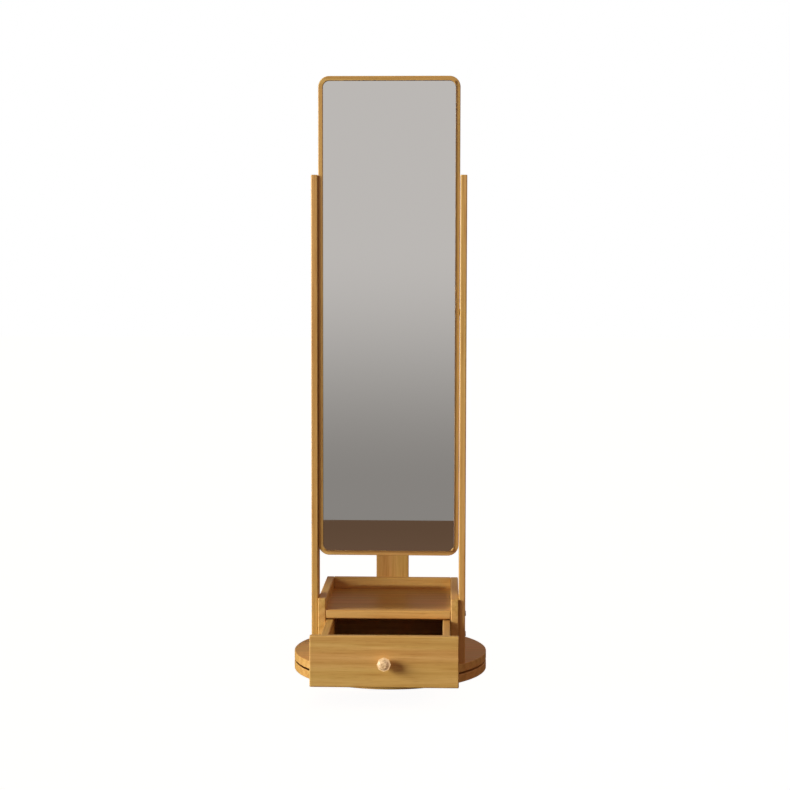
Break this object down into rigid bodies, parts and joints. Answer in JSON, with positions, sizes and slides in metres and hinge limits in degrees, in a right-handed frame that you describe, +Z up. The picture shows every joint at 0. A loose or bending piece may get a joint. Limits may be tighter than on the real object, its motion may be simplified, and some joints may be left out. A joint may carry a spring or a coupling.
{
  "type": "cheval floor mirror",
  "caption": "Full-length tilting mirror between two wooden posts on a round turntable base, with a shoe shelf, a drawer and a coat post with pegs behind.",
  "frame": {"origin": "centre of the middle foot's underside, on the turning axis of the base", "axes": "+Z up, -Y the way the mirror faces and the drawer opens, +X to the viewer's right"},
  "size_m": [0.53, 0.741, 1.602],
  "materials": {
    "wood": "satin clear lacquer on light golden wood with fine straight grain",
    "hardwood": "planed, unlacquered dowels, runners and stop",
    "board": "veneered board, matt",
    "mirror": "silvered float glass, polished",
    "crystal": "cut and polished, pale champagne tint",
    "brass": "satin brass",
    "steel": "zinc plated",
    "nylon": "moulded nylon",
    "rubber": "matt black"
  },
  "bodies": {
    "base": {"lower_disc": "wood", "rubber_feet": "rubber", "lower_race": "steel", "lower_race_screws": "steel", "centre_bolt": "steel", "centre_nut": "steel", "centre_washers": "steel"},
    "ball_ring": {"ball_cage": "nylon", "bearing_balls": "steel"},
    "turntable": {"upper_disc": "wood", "upper_race": "steel", "upper_race_screws": "steel", "left_side_panel": "wood", "right_side_panel": "wood", "back_panel": "wood", "shoe_shelf": "wood", "case_dowels": "hardwood", "left_runner": "hardwood", "right_runner": "hardwood", "runner_screws": "steel", "drawer_stop": "hardwood", "left_post": "wood", "right_post": "wood", "post_bolts": "steel", "post_inserts": "brass", "pivot_bushes": "nylon", "pivot_caps": "wood", "disc_screws": "steel", "coat_post": "wood", "coat_post_screws": "steel", "peg_bar": "wood", "peg_bar_bolts": "steel", "coat_pegs": "wood"},
    "mirror": {"left_stile": "wood", "right_stile": "wood", "top_rail": "wood", "bottom_rail": "wood", "frame_dowels": "hardwood", "mirror_glass": "mirror", "backing_board": "board", "pivot_inserts": "brass", "pivot_bolts": "steel", "pivot_washers": "nylon"},
    "drawer": {"drawer_front": "wood", "drawer_left_side": "wood", "drawer_right_side": "wood", "drawer_back": "wood", "drawer_bottom": "board", "drawer_cleat": "hardwood", "drawer_dowels": "hardwood", "drawer_knob": "crystal", "knob_base": "brass", "knob_screw": "steel"}
  },
  "joints": [
    {"name": "base_swivel", "type": "hinge", "parent": "base", "child": "turntable", "pos_m": [0, 0, 0.04], "axis": [0, 0, 1], "continuous": true},
    {"name": "ball_ring_turn", "type": "hinge", "parent": "base", "child": "ball_ring", "pos_m": [0, 0, 0.0265], "axis": [0, 0, 1], "continuous": true},
    {"name": "mirror_tilt", "type": "hinge", "parent": "turntable", "child": "mirror", "pos_m": [0, -0.1415, 0.985], "axis": [1, 0, 0], "range_deg": [-15, 15]},
    {"name": "drawer_slide", "type": "slide", "parent": "turntable", "child": "drawer", "axis": [0, -1, 0], "range_m": [-0.2575, 0.014]}
  ],
  "couplings": [
    {"joint": "ball_ring_turn", "follows": "base_swivel", "ratio": 0.5}
  ]
}
